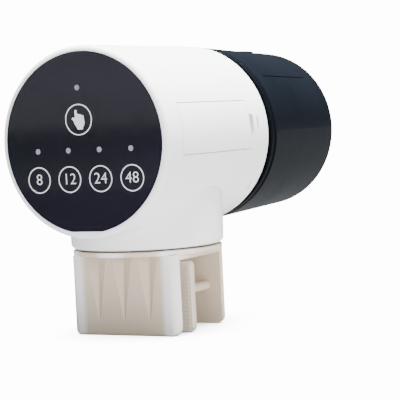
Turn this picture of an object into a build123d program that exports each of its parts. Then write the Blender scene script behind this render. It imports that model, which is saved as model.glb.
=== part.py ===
from build123d import *
import math
import os

# Automatic fish feeder: a white tubular housing with a touch panel in front, a turning
# food drum behind, and a clamp bracket under its neck.
#
# The pieces are drawn in body coordinates, in millimetres: the origin is on the tube's
# axis in the plane of the front panel, +X to the right, +Y towards the drum, +Z up.
# write() moves them so that the bracket stands on Z = 0 with the origin under the
# middle of the whole feeder.

# ---------------------------------------------------------------- driving dimensions
# housing tube
tube_front_r = 38.0
tube_wall = 2.0
tube_rear_r = tube_front_r + 0.5
bore_r = tube_front_r - tube_wall
housing_length = 88.3
front_edge_fillet = 2.2
rear_edge_fillet = 0.6
fastener_gap = 0.05          # radial play of every screw, pin and axle that is fixed
assembly_gap = 0.15          # play between parts that are pushed together
running_gap = 0.06           # radial play of turning shafts

# neck under the tube
neck_y = 46.6
neck_bottom_r = 31.7
neck_draft = 1.6             # degrees
neck_wall = 2.2
neck_floor = 2.5
neck_bottom_fillet = 2.2
neck_drop = tube_front_r + 6.4   # from the tube's axis down to the neck's lower face

# front panel and touch board
panel_r = tube_front_r - 2.5
panel_flat = panel_r - 0.7   # from the axis down to the flat lower edge
panel_thickness = 1.5
gasket_thickness = 0.4
ledge_width = 2.3
ledge_thickness = 1.8
board_space = 3.4            # between the lens and the board
board_thickness = 1.2
board_r = panel_r - 1.1
board_boss_r = 2.8
board_boss_at = bore_r - 4.4
board_boss_angles = (90.0, 200.0, 340.0)
key_row_z = -14.3
key_row_x = (-21.0, -6.8, 7.4, 21.6)
feed_key_x = -1.3
feed_key_z = 9.0
led_row_z = -2.95
power_led_z = 21.5
guide_r = 1.1
touch_pad_r = 3.5
chip_size = (7.8, 5.2, 1.6)  # along X, along Z, height
chip_pins = 7                # on each side
chip_pin_pitch = 1.0

# battery bay
cell_r = 7.25
cell_length = 49.5
door_y = (12.4, 12.4 + cell_length + 9.7)
door_z = (-6.9, 13.7)
door_depth = (bore_r - 6.0, tube_rear_r + 6.5)
door_gap = 0.25
door_thickness = 1.9
cell_nub_r = 2.75
cell_nub_length = 1.0
cell_x = (bore_r - 8.0, bore_r - 22.8)
bay_wall = 1.2
bay_play = 0.3
spring_length = 3.3
spring_wire_r = 0.35
spring_coil_r = 3.2
spring_turns = 2.25
contact_thickness = 0.4
contact_half = 4.6
door_tab_angles = (-1.5, 14.0)
door_tab_half = 3.0          # degrees
door_tab_reach = 2.0         # of the tabs under the housing's wall
pivot_clearance = 5.8        # radius that the tabs sweep about the door's front edge
latch_half_width = 2.6
latch_notch_y = door_y[1] + 3.1
latch_notch_z = (-0.8, 7.7)

# snap windows of the rear bulkhead: angle in degrees, start and end along the tube, width
snap_windows = (
    (6.0, housing_length - 10.4, housing_length - 8.9, 5.6),
    (174.0, housing_length - 10.4, housing_length - 8.9, 5.6),
    (-36.0, housing_length - 7.0, housing_length - 5.7, 4.0),
    (216.0, housing_length - 7.0, housing_length - 5.7, 4.0),
)
snap_thickness = 1.1

# motor and gear train
gear_module = 0.6
output_teeth = 48
wheel_teeth = 40
pinion_teeth = 12
gear_backlash = 0.12
gear_addendum = 0.9          # of a module
gear_dedendum = 1.25         # of a module
gear_layer = 2.6
output_face = 3.6            # width of the output gear
gear_layer_gap = 0.5
plate_y = housing_length - 17.7
plate_thickness = 1.5
bulkhead_thickness = 2.0
axle_r = 1.0
shaft_r = 3.0
shaft_nose_r = 2.0
gear_b_angle = 270.0         # of gear B about the output shaft
gear_a_angle = 150.0         # of gear A about gear B
motor_angle = 110.0          # of the motor about gear A
motor_r = 10.0
motor_flats = 15.4
motor_length = 25.0
motor_boss_r = 3.0
gearbox_posts = ((15.5, -9.5), (-3.0, 19.5), (-16.0, -27.0), (-31.3, -3.0))
post_r = 2.5
bulkhead_boss_angles = (30.0, 130.0, 300.0)
bulkhead_boss_at = bore_r - 3.4
bulkhead_boss_r = 3.0

# drum
lid_start_y = housing_length + 0.4
drum_mouth_y = lid_start_y + 8.2
drum_length = 68.9
drum_end_y = drum_mouth_y + drum_length
drum_mouth_r = tube_rear_r - 0.37
drum_taper = 2.13
drum_wall = 1.5
drum_end_fillet = 3.5
lid_disc = 2.0
lid_ring_r = tube_rear_r - 0.5
lid_neck_r = tube_rear_r - 1.6
spigot_length = 5.1
spigot_wall = 2.2
spigot_gap = 0.3
seal_width = 1.6
hub_r = 6.5
hub_bore_depth = 5.0
hub_floor = 1.8
hub_ribs = 6

# dose gate in the drum's wall
gate_y = (drum_mouth_y + 8.1, drum_mouth_y + 53.1)
gate_low_angle = 40.0
gate_span = 64.0
gate_travel = 60.0
gate_slit = 0.8              # degrees of open slit under the gate's lower edge
gate_thickness = 1.2
gate_gap = 0.2
gate_end_gap = 0.15
tongue = 0.8
tongue_thickness = 0.5
pocket_wall = 1.5
outlet_y = (gate_y[0] + 5.0, gate_y[1] - 5.0)
outlet_angles = (82.0, 98.0)
thumb_dimple_y = (gate_y[1] - 16.5, gate_y[1] - 10.5)
thumb_dimple_depth = 0.6
thumb_ridge_y = (gate_y[1] - 9.0, gate_y[1] - 3.0)
thumb_ridge_height = 0.45
thumb_ridge_angles = (83.0, 97.0)

# clamp bracket
wall_height = 32.6           # of the two walls, from the collar down to the feet
bracket_half_width = 24.6
collar_r = 31.0
collar_thickness = 2.0
head_thickness = 2.2         # of the block under the collar that joins the two walls
swivel_gap = 0.6
swivel_hub_r = 14.0
spigot_r = 9.0
front_wall_y = (neck_y - 22.0, neck_y - 18.0)
front_wall_fillet = 3.2
front_toe_fillet = 1.0
rear_wall_y = (neck_y + 17.0, neck_y + 19.6)
foot_corner_r = 3.5
flute_pitch = 11.9
flute_width = 9.6
flute_depth = 2.2
flute_end = 5.0              # above the feet

# clamp jaw, pins and screw
jaw_front_y = neck_y - 9.6
jaw_thickness = 3.5
jaw_top_gap = 1.2
jaw_foot_gap = 0.2
jaw_corner_r = 2.0
rib_pitch = 1.62
rib_height = 0.5
rib_width = 0.85
rib_count = 17
rib_first_drop = 2.2         # from the jaw's upper edge to its first rib
pin_drop = 14.1              # from the head block down to the pins and the screw
pin_x = 17.5
pin_r = 1.9
pin_spare = 0.8              # of the pins behind the rear wall when the jaw is closed
screw_r = 4.0
screw_tip_r = 3.0
screw_neck_r = 2.1
jaw_boss_r = 7.5
jaw_boss_length = 4.8
clip_thickness = 0.8
insert_r = 6.0
insert_flange_r = 8.0
insert_flange = 1.8
knob_r = 11.0
knob_length = 11.0
knob_grips = 12
closed_gap = 0.3             # between the ribs and the front wall when the jaw is closed

# ---------------------------------------------------------------- derived places
gasket_y = panel_thickness
ledge_y = gasket_y + gasket_thickness
cavity_y = ledge_y + ledge_thickness
board_y = panel_thickness + board_space
board_back_y = board_y + board_thickness
plate_back_y = plate_y + plate_thickness
layer_a_y = plate_back_y + gear_layer_gap
layer_b_y = layer_a_y + gear_layer + gear_layer_gap
layer_out_y = layer_b_y + gear_layer + gear_layer_gap
bulkhead_y = layer_out_y + output_face + 0.8
bulkhead_back_y = bulkhead_y + bulkhead_thickness
spigot_end_y = drum_mouth_y + spigot_length
hub_bore_end = lid_start_y + hub_bore_depth
hub_end = hub_bore_end + hub_floor
collar_top = -neck_drop - swivel_gap
collar_bottom = collar_top - collar_thickness
head_bottom = collar_bottom - head_thickness
foot_z = collar_bottom - wall_height
jaw_top = head_bottom - jaw_top_gap
pin_z = head_bottom - pin_drop
swivel_top = -neck_drop + neck_floor + 0.1
jaw_back_y = jaw_front_y + jaw_thickness
jaw_boss_end_y = jaw_back_y + jaw_boss_length
jaw_close = jaw_front_y - rib_height - front_wall_y[1] - closed_gap
pin_seat_y = jaw_front_y + 1.3
tip_y = jaw_back_y + 0.8
clip_y = (tip_y + 1.6, tip_y + 1.6 + clip_thickness)
knob_y = rear_wall_y[1] + insert_flange + jaw_close + 0.7
all_keys = [(feed_key_x, feed_key_z)] + [(x, key_row_z) for x in key_row_x]
all_leds = [(feed_key_x, power_led_z)] + [(x, led_row_z) for x in key_row_x]
overall_length = drum_end_y


def polar(radius, degrees, x=0.0, z=0.0):
    """Point at a distance and an angle from (x, z), the angle counted from +X to +Z."""
    turn = math.radians(degrees)
    return x + radius * math.cos(turn), z + radius * math.sin(turn)


# ---------------------------------------------------------------- plain shapes
def block(x, y, z):
    """Box between pairs of limits along X, Y and Z."""
    middle = [(pair[0] + pair[1]) / 2 for pair in (x, y, z)]
    return Pos(*middle) * Box(x[1] - x[0], y[1] - y[0], z[1] - z[0])


def rod(radius, start, end, x=0.0, z=0.0):
    """Round rod along Y."""
    return Pos(x, (start + end) / 2, z) * Rot(90, 0, 0) * Cylinder(radius, end - start)


def pipe(outer, inner, start, end, x=0.0, z=0.0):
    """Round pipe along Y."""
    return rod(outer, start, end, x, z) - rod(inner, start - 1, end + 1, x, z)


def post(radius, bottom, top, x=0.0, y=0.0):
    """Round post along Z."""
    return Pos(x, y, (bottom + top) / 2) * Cylinder(radius, top - bottom)


def turned(points, arc=360.0):
    """Profile of (y, r) points turned about the tube's axis."""
    outline = Polyline(*[(r, y) for y, r in points], close=True)
    return revolve(make_face(outline), Axis.Y, arc)


def sector(r_in, r_out, start, end, low, high):
    """Part of a ring along Y between two angles."""
    ring = turned([(start, r_in), (end, r_in), (end, r_out), (start, r_out)], high - low)
    return Rot(0, -high, 0) * ring


def profile_plate(face, start, end):
    """Flat face drawn in (x, z), thickened along Y."""
    return extrude(Plane.XZ.offset(-end) * face, end - start)


def screw(x, z, seat, reach, head_r, head_height, shank_r):
    """Pan-head screw along Y: seat is under its head, reach is its tip."""
    way = 1 if reach > seat else -1
    top = seat - way * head_height
    head = rod(head_r, min(seat, top), max(seat, top), x, z)
    rim = head.edges().filter_by(GeomType.CIRCLE).sort_by(Axis.Y)
    head = fillet(rim[0] if way > 0 else rim[-1], head_height * 0.45)
    shank = rod(shank_r, min(seat, reach), max(seat, reach), x, z)
    slot_depth = head_height * 0.5
    slot_y = (top, top + way * slot_depth)
    slot_y = (min(slot_y) - 0.1 * (way > 0), max(slot_y) + 0.1 * (way < 0))
    arm = head_r * 0.62
    cross = block((x - arm, x + arm), slot_y, (z - 0.3, z + 0.3))
    cross += block((x - 0.3, x + 0.3), slot_y, (z - arm, z + arm))
    return head + shank - cross


# ---------------------------------------------------------------- housing
def tube_solid():
    """Outside of the tube, with its rounded front edge."""
    solid = turned([(0, 0), (housing_length, 0), (housing_length, tube_rear_r), (0, tube_front_r)])
    rims = solid.edges().filter_by(GeomType.CIRCLE).sort_by(Axis.Y)
    solid = fillet(rims[0], front_edge_fillet)
    rims = solid.edges().filter_by(GeomType.CIRCLE).sort_by(Axis.Y)
    return fillet(rims[-1], rear_edge_fillet)


def neck_radius(z):
    """Outside radius of the neck at a height."""
    return neck_bottom_r + (z + neck_drop) * math.tan(math.radians(neck_draft))


def neck_solid():
    """Outside of the neck, up to the tube's axis."""
    cone = Cone(neck_radius(-neck_drop), neck_radius(0), neck_drop)
    cone = Pos(0, neck_y, -neck_drop / 2) * cone
    low = cone.edges().filter_by(GeomType.CIRCLE).sort_by(Axis.Z)[0]
    return fillet(low, neck_bottom_fillet)


def lens_outline(radius, flat):
    """Round outline with a flat lower edge, drawn in (x, z)."""
    return Circle(radius) - Pos(0, -flat - radius) * Rectangle(2 * radius, 2 * radius)


def main_housing():
    body = tube_solid() + neck_solid()
    body -= rod(bore_r, cavity_y, housing_length + 1)
    inner_neck_r = neck_bottom_r - neck_wall
    body -= post(inner_neck_r, -neck_drop + neck_floor, 0, 0, neck_y)
    body -= post(spigot_r + running_gap, -neck_drop - 1, 0, 0, neck_y)
    seat = lens_outline(panel_r + assembly_gap, panel_flat + assembly_gap)
    body -= profile_plate(seat, -1, ledge_y)
    window = lens_outline(panel_r - ledge_width, panel_flat - ledge_width)
    body -= profile_plate(window, ledge_y - 0.1, cavity_y + 0.1)
    for angle in board_boss_angles:
        x, z = polar(board_boss_at, angle)
        boss = rod(board_boss_r, ledge_y + 0.2, board_y, x, z)
        body += boss - rod(1.0 + fastener_gap, ledge_y - 1, board_y + 1, x, z)
        body -= rod(1.0 + fastener_gap, ledge_y + 0.8, board_y + 1, x, z)
    for angle in bulkhead_boss_angles:
        x, z = polar(bulkhead_boss_at, angle)
        boss = rod(bulkhead_boss_r, bulkhead_y - 8, bulkhead_y, x, z)
        boss += sector(bulkhead_boss_at, bore_r + 0.5, bulkhead_y - 8, bulkhead_y,
                       angle - 3.5, angle + 3.5)
        body += boss - rod(1.25 + fastener_gap, bulkhead_y - 7, bulkhead_y + 1, x, z)
    body -= block(door_depth, door_y, door_z)
    body -= block(door_depth, (door_y[1] - 1, latch_notch_y), latch_notch_z)
    for angle, start, end, width in snap_windows:
        cut = block((bore_r - 1, tube_rear_r + 2), (start, end), (-width / 2, width / 2))
        body -= Rot(0, -angle, 0) * cut
    return body


def front_panel():
    lens = profile_plate(lens_outline(panel_r, panel_flat), 0, panel_thickness)
    for x, z in all_leds:
        lens -= rod(guide_r + fastener_gap, -1, panel_thickness + 1, x, z)
    return lens


def panel_gasket():
    outside = lens_outline(panel_r - 0.3, panel_flat - 0.3)
    inside = lens_outline(panel_r - ledge_width + 0.1, panel_flat - ledge_width + 0.1)
    return profile_plate(outside - inside, gasket_y, ledge_y)


def touch_board():
    board = rod(board_r, board_y, board_back_y)
    for angle in board_boss_angles:
        x, z = polar(board_boss_at, angle)
        board -= rod(1.0 + fastener_gap, board_y - 1, board_back_y + 1, x, z)
    return board


def touch_pads():
    return [rod(touch_pad_r, panel_thickness, board_y, x, z) for x, z in all_keys]


def led_light_guides():
    return [rod(guide_r, 0, board_y - 1.0, x, z) for x, z in all_leds]


def indicator_leds():
    return [block((x - 1, x + 1), (board_y - 1.0, board_y), (z - 0.6, z + 0.6))
            for x, z in all_leds]


def control_chip():
    length, width, height = chip_size
    chip = block((-length / 2, length / 2), (board_back_y, board_back_y + height),
                 (-width / 2, width / 2))
    for side in (-1, 1):
        for step in range(chip_pins):
            x = (step - (chip_pins - 1) / 2) * chip_pin_pitch
            z = sorted((side * (width / 2 - 0.2), side * (width / 2 + 1.0)))
            chip += block((x - 0.2, x + 0.2), (board_back_y, board_back_y + 0.5), z)
    return chip


def board_screws():
    found = []
    for angle in board_boss_angles:
        x, z = polar(board_boss_at, angle)
        found.append(screw(x, z, board_back_y, ledge_y + 1.0, 1.9, 1.3, 1.0))
    return found


# ---------------------------------------------------------------- battery bay
cell_z = (door_z[0] + door_z[1]) / 2
bay_y = (door_y[0] + 1.0, door_y[1] - 1.2)
bay_in_y = (bay_y[0] + bay_wall, bay_y[1] - bay_wall)
bay_in_z = (cell_z - cell_r - bay_play, cell_z + cell_r + bay_play)
bay_floor_x = cell_x[1] - cell_r - bay_play
flange_r = (bore_r - 1.6, bore_r - 0.05)
door_pivot = (tube_front_r + 0.3, door_y[0])


def battery_box():
    flange = sector(flange_r[0], flange_r[1], bay_y[0] + 1.2, bay_y[1] - 1.6, -14.5, 26.0)
    outside = block((bay_floor_x - bay_wall, bore_r), bay_y,
                    (bay_in_z[0] - bay_wall, bay_in_z[1] + bay_wall))
    inside = block((bay_floor_x, bore_r + 4), bay_in_y, bay_in_z)
    shell = outside & rod(flange_r[1] - 1.0, bay_y[0] - 1, bay_y[1] + 1)
    box = shell + flange - inside
    return box - post(pivot_clearance, door_z[0] - 1, door_z[1] + 1, *door_pivot)


def cell(x, facing):
    """One AA cell; facing is +1 when its nub points to +Y."""
    spring_side = bay_in_y[0] if facing > 0 else bay_in_y[1]
    base = spring_side + facing * (contact_thickness + spring_length)
    can_end = base + facing * cell_length
    can = rod(cell_r, min(base, can_end), max(base, can_end), x, cell_z)
    can = fillet(can.edges().filter_by(GeomType.CIRCLE), 0.6)
    nub_end = can_end + facing * cell_nub_length
    return can + rod(cell_nub_r, min(can_end, nub_end), max(can_end, nub_end), x, cell_z)


def battery_springs():
    found = []
    for x, facing in ((cell_x[0], 1), (cell_x[1], -1)):
        height = spring_length - 2 * spring_wire_r - 0.1
        coil = Helix(pitch=height / spring_turns, height=height, radius=spring_coil_r)
        wire = Plane(origin=coil @ 0, z_dir=coil % 0) * Circle(spring_wire_r)
        spring = sweep(wire, coil)
        wall = bay_in_y[0] if facing > 0 else bay_in_y[1]
        foot = wall + facing * (contact_thickness + spring_wire_r + 0.05)
        turn = -90 if facing > 0 else 90
        found.append(Pos(x, foot, cell_z) * Rot(turn, 0, 0) * spring)
    return found


def battery_contacts():
    found = []
    for wall, way in ((bay_in_y[0], 1), (bay_in_y[1], -1)):
        face = sorted((wall, wall + way * contact_thickness))
        for x in cell_x:
            found.append(block((x - contact_half, x + contact_half), face,
                               (cell_z - contact_half, cell_z + contact_half)))
    return found


def battery_door():
    y = (door_y[0] + door_gap, door_y[1] - door_gap)
    z = (door_z[0] + door_gap, door_z[1] - door_gap)
    door = tube_solid() & block(door_depth, y, z)
    door -= rod(bore_r + tube_wall - door_thickness, y[0] - 1, y[1] + 1)
    tab_r = (bore_r - 1.2, bore_r - 0.1)
    root_y = bay_y[0] - assembly_gap
    for angle in door_tab_angles:
        span = (angle - door_tab_half, angle + door_tab_half)
        door += sector(*tab_r, door_y[0] - door_tab_reach, root_y, *span)
        door += sector(tab_r[0], bore_r + 0.5, y[0] + 0.05, root_y, *span)
    middle = sum(latch_notch_z) / 2
    low = math.degrees(math.asin((middle - latch_half_width) / bore_r))
    high = math.degrees(math.asin((middle + latch_half_width) / bore_r))
    door += sector(bore_r - 1.4, bore_r + 0.5, bay_y[1] + 0.15, y[1] - 0.05, low, high)
    door += sector(bore_r - 1.4, bore_r - 0.3, bay_y[1] + 0.15, latch_notch_y - 0.4, low, high)
    return door


# ---------------------------------------------------------------- gear train
output_r = gear_module * output_teeth / 2
wheel_r = gear_module * wheel_teeth / 2
pinion_r = gear_module * pinion_teeth / 2
gear_b_at = polar(output_r + pinion_r, gear_b_angle)
gear_a_at = polar(wheel_r + pinion_r, gear_a_angle, *gear_b_at)
motor_at = polar(wheel_r + pinion_r, motor_angle, *gear_a_at)


def gear(teeth, start, end, x, z, tooth_at):
    """Spur gear along Y with one tooth centred on the angle tooth_at."""
    pitch_r = gear_module * teeth / 2
    tip_r = pitch_r + gear_addendum * gear_module
    root_r = pitch_r - gear_dedendum * gear_module
    base_r = pitch_r * math.cos(math.radians(20.0))

    def involute(radius):
        ratio = max(1.0, radius / base_r)
        return math.sqrt(ratio * ratio - 1) - math.acos(1 / ratio)

    half = (math.pi / 2 - gear_backlash / gear_module) / teeth + involute(pitch_r)
    flank = [root_r, max(base_r, root_r + 0.05), pitch_r, tip_r]
    points = []
    for tooth in range(teeth):
        middle = math.radians(tooth_at) + tooth * 2 * math.pi / teeth
        for radius in flank:
            points.append((radius, middle - half + involute(radius)))
        for radius in reversed(flank):
            points.append((radius, middle + half - involute(radius)))
    outline = [(r * math.cos(a), r * math.sin(a)) for r, a in points]
    face = make_face(Polyline(*outline, close=True))
    return profile_plate(Pos(x, z) * face, start, end)


def mesh_phase(teeth_1, tooth_at_1, teeth_2, direction):
    """Tooth angle of gear 2 that meshes with gear 1, seen along direction from 1 to 2."""
    share = (direction - tooth_at_1) / 360.0 * teeth_1
    return direction + 180.0 - (0.5 - share) * 360.0 / teeth_2


gear_b_phase = mesh_phase(output_teeth, 0.0, pinion_teeth, gear_b_angle)
gear_a_phase = mesh_phase(wheel_teeth, 0.0, pinion_teeth, gear_a_angle)
motor_phase = mesh_phase(wheel_teeth, 0.0, pinion_teeth, motor_angle)


def output_gear():
    wheel = gear(output_teeth, layer_out_y, layer_out_y + output_face, 0, 0, 0.0)
    wheel += rod(5.1, layer_out_y - 1.2, layer_out_y + output_face)
    return wheel - rod(shaft_r + fastener_gap, plate_y, housing_length)


def compound_gear_b():
    x, z = gear_b_at
    wheel = gear(wheel_teeth, layer_b_y, layer_b_y + gear_layer, x, z, 0.0)
    wheel += gear(pinion_teeth, layer_b_y + gear_layer, bulkhead_y - 0.4, x, z, gear_b_phase)
    return wheel - rod(axle_r + running_gap, plate_y, housing_length, x, z)


def compound_gear_a():
    x, z = gear_a_at
    wheel = gear(wheel_teeth, layer_a_y, layer_a_y + gear_layer, x, z, 0.0)
    wheel += gear(pinion_teeth, layer_a_y + gear_layer, layer_out_y - 0.3, x, z, gear_a_phase)
    wheel += rod(1.6, layer_out_y - 0.4, bulkhead_y - 0.4, x, z)
    return wheel - rod(axle_r + running_gap, plate_y, housing_length, x, z)


def motor_pinion():
    x, z = motor_at
    wheel = gear(pinion_teeth, layer_a_y, layer_a_y + gear_layer, x, z, motor_phase)
    return wheel - rod(axle_r + fastener_gap, plate_y, housing_length, x, z)


def motor_shaft():
    return rod(axle_r, plate_y - 4.0, layer_a_y + gear_layer, *motor_at)


def motor_can():
    x, z = motor_at
    flats = block((x - motor_r, x + motor_r), (0, plate_y),
                  (z - motor_flats / 2, z + motor_flats / 2))
    can = rod(motor_r, plate_y - motor_length, plate_y, x, z) & flats
    can += rod(motor_boss_r, plate_y - 0.1, plate_back_y - 0.1, x, z)
    can -= rod(axle_r + running_gap, plate_y - 4.2, plate_back_y + 1, x, z)
    tail = plate_y - motor_length
    return can - rod(motor_r - 1.5, tail - 1, tail + 0.8, x, z)


def motor_cap():
    x, z = motor_at
    tail = plate_y - motor_length
    cap = rod(motor_r - 1.6, tail - 0.6, tail + 0.8, x, z)
    cap += rod(2.6, tail - 1.8, tail - 0.5, x, z)
    for side in (-1, 1):
        cap += block((x + side * 5.5 - 1, x + side * 5.5 + 1), (tail - 3.2, tail - 0.5),
                     (z - 0.25, z + 0.25))
    return cap


def motor_wires():
    """Two leads from the motor's terminals to the back of the board."""
    x, z = motor_at
    found = []
    start = plate_y - motor_length - 3.3
    for side in (-1, 1):
        route = FilletPolyline((x + side * 5.5, start, z), (x + side * 5.0, start - 8, z),
                               (x + side * 2.5, start - 20, z + 3.0),
                               (x + side * 2.5, board_back_y + 0.1, z + 3.0), radius=8)
        wire = Plane(origin=route @ 0, z_dir=route % 0) * Circle(0.55)
        found.append(sweep(wire, route))
    return found


def gearbox_plate():
    rounds = [Pos(x, z) * Circle(post_r + 0.9) for x, z in gearbox_posts]
    rounds.append(Pos(*motor_at) * Circle(motor_r - 2.0))
    outline = make_hull([edge for shape in rounds for edge in shape.edges()])
    plate = profile_plate(outline, plate_y, plate_back_y)
    plate -= rod(motor_boss_r + fastener_gap, plate_y - 1, plate_back_y + 1, *motor_at)
    plate -= rod(shaft_nose_r + running_gap, plate_y - 1, plate_back_y + 1)
    for at in (gear_a_at, gear_b_at):
        plate -= rod(axle_r + fastener_gap, plate_y - 1, plate_back_y + 1, *at)
    for at in gearbox_posts:
        plate -= rod(1.0 + fastener_gap, plate_y - 1, plate_back_y + 1, *at)
    return plate


def gear_axles():
    return [rod(axle_r, plate_y + 0.3, bulkhead_y + 1.4, *at) for at in (gear_a_at, gear_b_at)]


def output_shaft():
    shaft = rod(shaft_nose_r, plate_y + 0.2, layer_a_y, 0, 0)
    shaft += rod(shaft_r, layer_a_y, hub_bore_end)
    shaft -= block((shaft_r - 0.6, shaft_r + 1), (lid_start_y, hub_bore_end + 1),
                   (-shaft_r, shaft_r))
    return shaft - rod(1.5 + fastener_gap, hub_bore_end - 6, hub_bore_end + 1)


def rear_bulkhead():
    plate = rod(bore_r - assembly_gap, bulkhead_y, bulkhead_back_y)
    for at in gearbox_posts:
        plate += rod(post_r, plate_back_y, bulkhead_y + 0.5, *at)
        plate -= rod(1.0 + fastener_gap, plate_back_y - 1, plate_back_y + 6, *at)
    for at in (gear_a_at, gear_b_at):
        plate -= rod(axle_r + fastener_gap, bulkhead_y - 1, bulkhead_y + 1.5, *at)
    for angle in bulkhead_boss_angles:
        x, z = polar(bulkhead_boss_at, angle)
        plate -= rod(1.25 + fastener_gap, bulkhead_y - 1, bulkhead_back_y + 1, x, z)
    for angle, start, end, width in snap_windows:
        inner = bore_r - 0.3 - snap_thickness
        half = math.degrees((width / 2 - 0.4) / bore_r)
        plate += sector(inner, bore_r - 0.3, start + 0.15, bulkhead_y + 0.5,
                        angle - half, angle + half)
        plate += sector(inner, bore_r + 0.9, start + 0.15, end - 0.15,
                        angle - half, angle + half)
    return plate - rod(5.0 + fastener_gap, bulkhead_y - 1, bulkhead_back_y + 1)


def output_bush():
    bush = rod(5.0, bulkhead_y - 0.5, bulkhead_back_y + 1)
    bush += rod(6.4, bulkhead_back_y, bulkhead_back_y + 1)
    return bush - rod(shaft_r + running_gap, bulkhead_y - 1, bulkhead_back_y + 2)


def gearbox_screws():
    return [screw(x, z, plate_y, plate_y + 6.5, 2.0, 1.4, 1.0) for x, z in gearbox_posts]


def bulkhead_screws():
    found = []
    for angle in bulkhead_boss_angles:
        x, z = polar(bulkhead_boss_at, angle)
        found.append(screw(x, z, bulkhead_back_y, bulkhead_y - 6, 2.4, 1.6, 1.25))
    return found


# ---------------------------------------------------------------- drum
def drum_r(y):
    """Outside radius of the drum along its length."""
    share = (y - drum_mouth_y) / (drum_end_y - drum_mouth_y)
    return drum_mouth_r - share * drum_taper


def drum_band(y, top, bottom, low, high):
    """Part of the drum's wall between two depths under its surface and two angles."""
    profile = [(y[0], drum_r(y[0]) - bottom), (y[1], drum_r(y[1]) - bottom),
               (y[1], drum_r(y[1]) - top), (y[0], drum_r(y[0]) - top)]
    return Rot(0, -high, 0) * turned(profile, high - low)


gate_high_angle = gate_low_angle + gate_span
pocket_angles = (gate_low_angle - gate_slit, gate_high_angle + gate_travel + 1.0)
pocket_depth = gate_thickness + gate_gap
spigot_out_r = drum_r(spigot_end_y) - drum_wall - spigot_gap
seal_y = drum_mouth_y + 1.9
seal_groove_r = spigot_out_r - 0.9


def drum_lid():
    inner = spigot_out_r - spigot_wall
    profile = [
        (lid_start_y, 0), (lid_start_y, lid_neck_r - 0.5), (lid_start_y + 0.5, lid_neck_r),
        (lid_start_y + 3.3, lid_neck_r), (lid_start_y + 3.5, lid_neck_r - 0.6),
        (lid_start_y + 3.9, lid_neck_r - 0.6), (lid_start_y + 4.1, lid_ring_r - 0.4),
        (lid_start_y + 4.5, lid_ring_r), (lid_start_y + 6.8, lid_ring_r),
        (lid_start_y + 7.2, lid_ring_r - 0.4), (lid_start_y + 7.3, spigot_out_r),
        (seal_y, spigot_out_r), (seal_y, seal_groove_r),
        (seal_y + seal_width + 0.2, seal_groove_r), (seal_y + seal_width + 0.2, spigot_out_r),
        (spigot_end_y - 0.6, spigot_out_r), (spigot_end_y, spigot_out_r - 0.6),
        (spigot_end_y, inner), (lid_start_y + lid_disc, inner), (lid_start_y + lid_disc, 0),
    ]
    lid = turned(profile)
    lid += rod(hub_r, bulkhead_back_y + 1.2, hub_end)
    for step in range(hub_ribs):
        rib = block((hub_r - 1, inner + 0.5), (lid_start_y + 1, hub_bore_end), (-0.7, 0.7))
        lid += Rot(0, 360 / hub_ribs * step, 0) * rib
    bore = rod(shaft_r + fastener_gap, bulkhead_back_y, hub_bore_end)
    bore -= block((shaft_r - 0.6 + fastener_gap, shaft_r + 1),
                  (lid_start_y, hub_bore_end + 1), (-shaft_r, shaft_r))
    lid -= bore
    return lid - rod(1.5 + fastener_gap, hub_bore_end - 1, hub_end + 1)


def lid_seal():
    out = drum_r(seal_y + seal_width) - drum_wall - 0.15
    low = seal_groove_r + fastener_gap
    start = seal_y + 0.1
    end = start + seal_width
    profile = [(start, low), (start, out - 0.5), (start + 0.5, out), (end - 0.5, out),
               (end, out - 0.5), (end, low)]
    return turned(profile)


def hub_screw():
    return screw(0, 0, hub_end, hub_bore_end - 5.5, 3.0, 1.8, 1.5)


def drum_cup():
    outside = turned([(drum_mouth_y, 0), (drum_end_y, 0), (drum_end_y, drum_r(drum_end_y)),
                      (drum_mouth_y, drum_mouth_r)])
    rims = outside.edges().filter_by(GeomType.CIRCLE).sort_by(Axis.Y)
    outside = fillet(rims[-1], drum_end_fillet)
    rims = outside.edges().filter_by(GeomType.CIRCLE).sort_by(Axis.Y)
    outside = fillet(rims[0], 0.5)
    floor_y = drum_end_y - drum_wall
    inside = turned([(drum_mouth_y - 1, 0), (floor_y, 0), (floor_y, drum_r(floor_y) - drum_wall),
                     (drum_mouth_y - 1, drum_r(drum_mouth_y - 1) - drum_wall)])
    rims = inside.edges().filter_by(GeomType.CIRCLE).sort_by(Axis.Y)
    inside = fillet(rims[-1], drum_end_fillet - drum_wall)
    cup = outside - inside
    pad_y = (spigot_end_y + 0.6, gate_y[1] + tongue + 1.4)
    pad_depth = pocket_depth + pocket_wall
    cup += drum_band(pad_y, 0.5, pad_depth, pocket_angles[0] - 2.5, pocket_angles[1] + 2.5)
    cup -= drum_band(gate_y, -1, pocket_depth, *pocket_angles)
    groove_y = (gate_y[0] - tongue - 0.2, gate_y[1] + tongue + 0.2)
    groove_top = pocket_depth - gate_gap - tongue_thickness - 0.1
    cup -= drum_band(groove_y, groove_top, pocket_depth, *pocket_angles)
    return cup - drum_band(outlet_y, -1, pad_depth + 1, *outlet_angles)


def dose_gate():
    y = (gate_y[0] + gate_end_gap, gate_y[1] - gate_end_gap)
    gate = drum_band(y, 0.03, gate_thickness, gate_low_angle, gate_high_angle)
    tongue_y = (y[0] - tongue, y[1] + tongue)
    gate += drum_band(tongue_y, gate_thickness - tongue_thickness, gate_thickness,
                      gate_low_angle, gate_high_angle)
    gate -= drum_band(thumb_dimple_y, -1, thumb_dimple_depth, *outlet_angles)
    return gate + drum_band(thumb_ridge_y, -thumb_ridge_height, 0.5, *thumb_ridge_angles)


# ---------------------------------------------------------------- clamp bracket
def wall_outline(half_width, bottom, top, corner):
    """Upright plate with rounded lower corners, drawn in (x, z)."""
    plate = Pos(0, (bottom + top) / 2) * Rectangle(2 * half_width, top - bottom)
    low = plate.vertices().group_by(Axis.Y)[0]
    return fillet(low, corner)


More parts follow.
